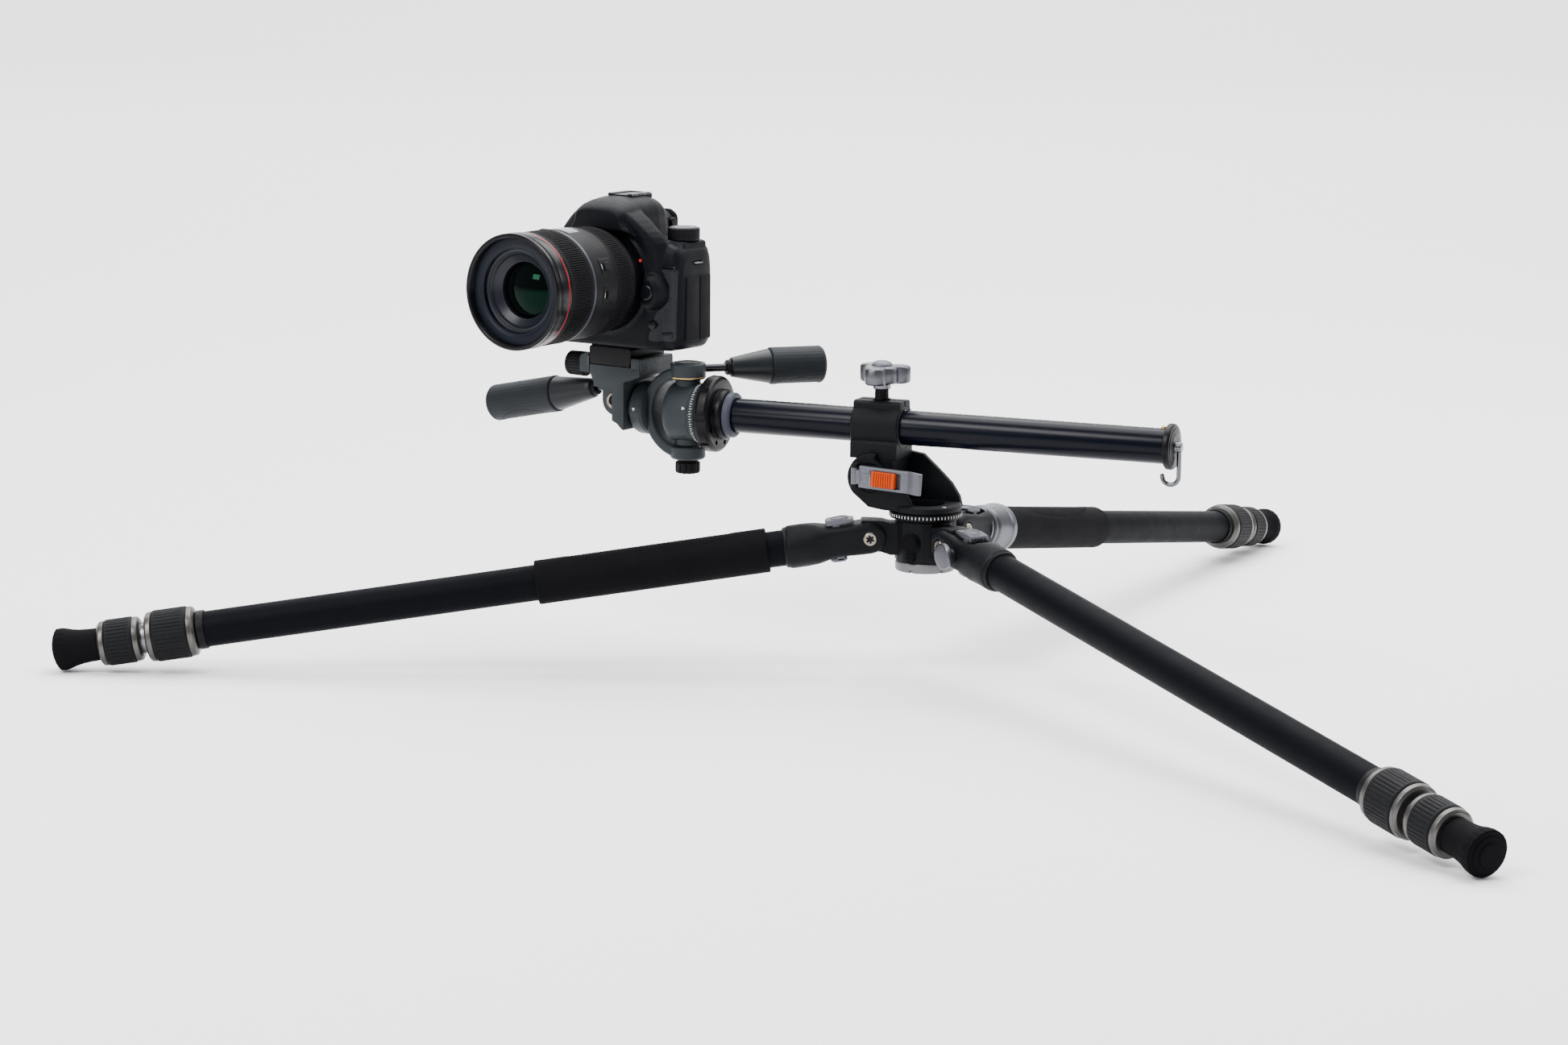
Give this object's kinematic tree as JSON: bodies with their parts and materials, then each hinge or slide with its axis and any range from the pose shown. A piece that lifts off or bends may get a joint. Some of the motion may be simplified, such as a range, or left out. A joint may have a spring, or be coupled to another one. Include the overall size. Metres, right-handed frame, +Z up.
{
  "type": "digital reflex camera on a tripod",
  "caption": "Reflex camera with a zoom lens on a low-splayed tripod with a swing-over centre column and a three-way pan head.",
  "frame": {"origin": "axis of the hub's bore at the bottom face of its base ring", "axes": "+Z up along the hub's axis, +X away from the left leg, +Y away from the side the lens faces"},
  "size_m": [0.9561, 1.1008, 0.3393],
  "materials": {
    "black_casting": "fine textured black powder coat",
    "leg_tube": "satin black anodised tube",
    "charcoal_head": "satin charcoal grey paint",
    "satin_silver": "satin anodised silver",
    "inner_tube": "satin bare tube",
    "nickel_screw": "bright nickel plate",
    "hook_wire": "polished wire",
    "grip_rubber": "matt ribbed rubber",
    "lock_rubber": "ribbed rubber",
    "liner_plastic": "plain bearing plastic",
    "knob_plastic": "fine ribbed plastic",
    "orange_plastic": "ribbed orange plastic",
    "camera_shell": "fine crackle-textured black",
    "lens_shell": "satin black",
    "lens_rubber": "ribbed rubber",
    "lens_glass": "green-amber coated glass",
    "mirror_glass": "front-silvered mirror",
    "sensor_glass": "filter glass over the sensor"
  },
  "bodies": {
    "hub": {"spider_casting": "black_casting", "dial_ring": "black_casting", "base_ring": "satin_silver", "thread_plug": "grip_rubber", "leg_pivot_bolts": "nickel_screw"},
    "column_base": {"column_base": "black_casting", "tilt_bolt": "nickel_screw"},
    "clamp_lever": {"clamp_lever": "satin_silver"},
    "lever_button": {"lever_button": "orange_plastic"},
    "collar": {"collar_clamp": "black_casting", "collar_liner": "liner_plastic"},
    "collar_knob": {"collar_knob": "satin_silver"},
    "column": {"column_tube": "leg_tube", "end_cap": "knob_plastic", "head_plate": "black_casting"},
    "bag_hook": {"bag_hook": "hook_wire"},
    "pan_housing": {"pan_housing": "charcoal_head"},
    "yoke": {"tilt_yoke": "charcoal_head", "side_bearing": "knob_plastic"},
    "friction_knob": {"friction_knob": "knob_plastic"},
    "tilt_handle": {"tilt_handle": "grip_rubber"},
    "bracket": {"tilt_bracket": "charcoal_head"},
    "side_handle": {"side_handle": "grip_rubber"},
    "plate_jaw": {"plate_jaw": "charcoal_head"},
    "plate_knob": {"plate_knob": "knob_plastic"},
    "camera": {"quick_plate": "black_casting", "camera_body": "camera_shell", "image_sensor": "sensor_glass", "lens_barrel": "lens_shell"},
    "mirror": {"reflex_mirror": "mirror_glass"},
    "mode_dial": {"mode_dial": "camera_shell"},
    "shutter_button": {"shutter_button": "camera_shell"},
    "main_dial": {"main_dial": "camera_shell"},
    "rear_dial": {"rear_dial": "camera_shell"},
    "lens_release": {"lens_release": "camera_shell"},
    "zoom_ring": {"zoom_ring": "lens_rubber"},
    "focus_ring": {"focus_ring": "lens_rubber"},
    "lens_front": {"lens_front": "lens_shell", "front_glass": "lens_glass"},
    "leg_left": {"leg_section_left": "leg_tube", "leg_grip_left": "grip_rubber"},
    "angle_lock_left": {"angle_lock_left": "satin_silver"},
    "upper_lock_left": {"upper_lock_left": "lock_rubber"},
    "middle_left": {"middle_tube_left": "inner_tube"},
    "lower_lock_left": {"lower_lock_left": "lock_rubber"},
    "foot_left": {"foot_tube_left": "grip_rubber"},
    "leg_front": {"leg_section_front": "leg_tube"},
    "angle_lock_front": {"angle_lock_front": "satin_silver"},
    "upper_lock_front": {"upper_lock_front": "lock_rubber"},
    "middle_front": {"middle_tube_front": "inner_tube"},
    "lower_lock_front": {"lower_lock_front": "lock_rubber"},
    "foot_front": {"foot_tube_front": "grip_rubber"},
    "leg_rear": {"leg_section_rear": "leg_tube", "leg_grip_rear": "grip_rubber"},
    "angle_lock_rear": {"angle_lock_rear": "satin_silver"},
    "upper_lock_rear": {"upper_lock_rear": "lock_rubber"},
    "middle_rear": {"middle_tube_rear": "inner_tube"},
    "lower_lock_rear": {"lower_lock_rear": "lock_rubber"},
    "foot_rear": {"foot_tube_rear": "grip_rubber"},
    "leg_knob": {"leg_knob": "satin_silver"}
  },
  "joints": [
    {"name": "column_pan", "type": "hinge", "parent": "hub", "child": "column_base", "pos_m": [0, 0, 0.038], "axis": [0, 0, 1], "continuous": true},
    {"name": "column_tilt", "type": "hinge", "parent": "column_base", "child": "collar", "pos_m": [-0.03222, 0.01368, 0.067], "axis": [0.3907, 0.9205, 0], "range_deg": [-12, 35]},
    {"name": "column_slide", "type": "slide", "parent": "collar", "child": "column", "axis": [0.9205, -0.3907, 0], "range_m": [-0.15, 0.05]},
    {"name": "head_pan", "type": "hinge", "parent": "column", "child": "pan_housing", "pos_m": [-0.17259, 0.07326, 0.102], "axis": [0.9205, -0.3907, 0], "range_deg": [-180, 40]},
    {"name": "yoke_tilt", "type": "hinge", "parent": "pan_housing", "child": "yoke", "pos_m": [-0.17259, 0.07326, 0.102], "axis": [0, 0, 1], "range_deg": [-70, 70]},
    {"name": "bracket_tilt", "type": "hinge", "parent": "yoke", "child": "bracket", "pos_m": [-0.21373, 0.10169, 0.102], "axis": [-0.8226, 0.5686, 0], "range_deg": [-25, 90]},
    {"name": "plate_slide", "type": "slide", "parent": "bracket", "child": "camera", "axis": [0.5686, 0.8226, 0], "range_m": [-0.01, 0.01]},
    {"name": "leg_fold_left", "type": "hinge", "parent": "hub", "child": "leg_left", "pos_m": [-0.04, 0, 0.024], "axis": [0, -1, 0], "range_deg": [0, 81]},
    {"name": "leg_fold_front", "type": "hinge", "parent": "hub", "child": "leg_front", "pos_m": [0.02, -0.03464, 0.024], "axis": [0.866, 0.5, 0], "range_deg": [0, 81]},
    {"name": "leg_fold_rear", "type": "hinge", "parent": "hub", "child": "leg_rear", "pos_m": [0.02, 0.03464, 0.024], "axis": [-0.866, 0.5, 0], "range_deg": [0, 81]},
    {"name": "middle_slide_left", "type": "slide", "parent": "leg_left", "child": "middle_left", "axis": [-0.9888, 0, -0.1495], "range_m": [0, 0.38]},
    {"name": "lower_slide_left", "type": "slide", "parent": "middle_left", "child": "foot_left", "axis": [-0.9888, 0, -0.1495], "range_m": [0, 0.38]},
    {"name": "middle_slide_front", "type": "slide", "parent": "leg_front", "child": "middle_front", "axis": [0.4944, -0.8563, -0.1495], "range_m": [0, 0.38]},
    {"name": "lower_slide_front", "type": "slide", "parent": "middle_front", "child": "foot_front", "axis": [0.4944, -0.8563, -0.1495], "range_m": [0, 0.38]},
    {"name": "middle_slide_rear", "type": "slide", "parent": "leg_rear", "child": "middle_rear", "axis": [0.4944, 0.8563, -0.1495], "range_m": [0, 0.38]},
    {"name": "lower_slide_rear", "type": "slide", "parent": "middle_rear", "child": "foot_rear", "axis": [0.4944, 0.8563, -0.1495], "range_m": [0, 0.38]},
    {"name": "lever_swing", "type": "hinge", "parent": "column_base", "child": "clamp_lever", "pos_m": [-0.05164, -0.00904, 0.0693], "axis": [0, 0, 1], "range_deg": [-95, 0]},
    {"name": "lever_button_slide", "type": "slide", "parent": "clamp_lever", "child": "lever_button", "axis": [0.9192, -0.3902, -0.0523], "range_m": [0, 0.0034], "stiffness_N_per_m": 600},
    {"name": "collar_knob_turn", "type": "hinge", "parent": "collar", "child": "collar_knob", "pos_m": [-0.03222, 0.01368, 0.102], "axis": [0, 0, 1], "range_deg": [0, 360]},
    {"name": "tilt_handle_turn", "type": "hinge", "parent": "yoke", "child": "tilt_handle", "pos_m": [-0.17259, 0.07326, 0.1338], "axis": [0.9511, 0.309, 0], "range_deg": [0, 360]},
    {"name": "side_handle_turn", "type": "hinge", "parent": "bracket", "child": "side_handle", "pos_m": [-0.22916, 0.1075, 0.1165], "axis": [-0.8047, 0.5561, -0.2079], "range_deg": [0, 360]},
    {"name": "friction_knob_turn", "type": "hinge", "parent": "yoke", "child": "friction_knob", "pos_m": [-0.17259, 0.07326, 0.062], "axis": [0, 0, 1], "range_deg": [0, 360]},
    {"name": "plate_knob_turn", "type": "hinge", "parent": "plate_jaw", "child": "plate_knob", "pos_m": [-0.24624, 0.11444, 0.1309], "axis": [-0.8226, 0.5686, 0], "range_deg": [0, 720]},
    {"name": "plate_jaw_slide", "type": "slide", "parent": "bracket", "child": "plate_jaw", "axis": [-0.8226, 0.5686, 0], "range_m": [0, 0.0025]},
    {"name": "zoom_turn", "type": "hinge", "parent": "camera", "child": "zoom_ring", "pos_m": [-0.27898, 0.0115, 0.1995], "axis": [-0.5686, -0.8226, 0], "range_deg": [0, 75]},
    {"name": "zoom_extend", "type": "slide", "parent": "camera", "child": "lens_front", "axis": [-0.5686, -0.8226, 0], "range_m": [0, 0.03]},
    {"name": "focus_turn", "type": "hinge", "parent": "camera", "child": "focus_ring", "pos_m": [-0.25055, 0.05263, 0.1995], "axis": [-0.5686, -0.8226, 0], "range_deg": [-60, 60]},
    {"name": "mode_dial_turn", "type": "hinge", "parent": "camera", "child": "mode_dial", "pos_m": [-0.17631, 0.07826, 0.2275], "axis": [0, 0, 1], "continuous": true},
    {"name": "shutter_press", "type": "slide", "parent": "camera", "child": "shutter_button", "axis": [0, 0, -1], "range_m": [0, 0.0015], "stiffness_N_per_m": 800},
    {"name": "main_dial_turn", "type": "hinge", "parent": "camera", "child": "main_dial", "pos_m": [-0.28074, 0.12856, 0.2215], "axis": [0.8226, -0.5686, 0], "continuous": true},
    {"name": "rear_dial_turn", "type": "hinge", "parent": "camera", "child": "rear_dial", "pos_m": [-0.24977, 0.15577, 0.185], "axis": [0.5686, 0.8226, 0], "continuous": true},
    {"name": "lens_release_press", "type": "slide", "parent": "camera", "child": "lens_release", "axis": [0.5686, 0.8226, 0], "range_m": [0, 0.002], "stiffness_N_per_m": 800},
    {"name": "mirror_flip", "type": "hinge", "parent": "camera", "child": "mirror", "pos_m": [-0.21229, 0.10799, 0.2145], "axis": [-0.8226, 0.5686, 0], "range_deg": [0, 44], "stiffness_Nm_per_rad": 0.05, "springref_deg": -5.73},
    {"name": "hook_swing", "type": "hinge", "parent": "column", "child": "bag_hook", "pos_m": [0.17121, -0.07268, 0.102], "axis": [0.9205, -0.3907, 0], "range_deg": [-100, 100]},
    {"name": "angle_lock_pull_left", "type": "slide", "parent": "leg_left", "child": "angle_lock_left", "axis": [-0.9888, 0, -0.1495], "range_m": [0, 0.005], "stiffness_N_per_m": 600},
    {"name": "angle_lock_pull_front", "type": "slide", "parent": "leg_front", "child": "angle_lock_front", "axis": [0.4944, -0.8563, -0.1495], "range_m": [0, 0.005], "stiffness_N_per_m": 600},
    {"name": "angle_lock_pull_rear", "type": "slide", "parent": "leg_rear", "child": "angle_lock_rear", "axis": [0.4944, 0.8563, -0.1495], "range_m": [0, 0.005], "stiffness_N_per_m": 600},
    {"name": "upper_lock_turn_left", "type": "hinge", "parent": "leg_left", "child": "upper_lock_left", "pos_m": [-0.54229, 0, -0.05196], "axis": [-0.9888, 0, -0.1495], "range_deg": [0, 90]},
    {"name": "lower_lock_turn_left", "type": "hinge", "parent": "middle_left", "child": "lower_lock_left", "pos_m": [-0.57887, 0, -0.0575], "axis": [-0.9888, 0, -0.1495], "range_deg": [0, 90]},
    {"name": "upper_lock_turn_front", "type": "hinge", "parent": "leg_front", "child": "upper_lock_front", "pos_m": [0.27114, -0.46964, -0.05196], "axis": [0.4944, -0.8563, -0.1495], "range_deg": [0, 90]},
    {"name": "lower_lock_turn_front", "type": "hinge", "parent": "middle_front", "child": "lower_lock_front", "pos_m": [0.28944, -0.50132, -0.0575], "axis": [0.4944, -0.8563, -0.1495], "range_deg": [0, 90]},
    {"name": "upper_lock_turn_rear", "type": "hinge", "parent": "leg_rear", "child": "upper_lock_rear", "pos_m": [0.27114, 0.46964, -0.05196], "axis": [0.4944, 0.8563, -0.1495], "range_deg": [0, 90]},
    {"name": "lower_lock_turn_rear", "type": "hinge", "parent": "middle_rear", "child": "lower_lock_rear", "pos_m": [0.28944, 0.50132, -0.0575], "axis": [0.4944, 0.8563, -0.1495], "range_deg": [0, 90]},
    {"name": "leg_knob_turn", "type": "hinge", "parent": "leg_front", "child": "leg_knob", "pos_m": [0.01684, -0.05816, 0.02116], "axis": [-0.866, -0.5, 0], "range_deg": [0, 360]}
  ],
  "couplings": [
    {"joint": "plate_knob_turn", "follows": "plate_jaw_slide", "rad_per_m": 5026},
    {"joint": "zoom_turn", "follows": "zoom_extend", "rad_per_m": 43.628}
  ]
}
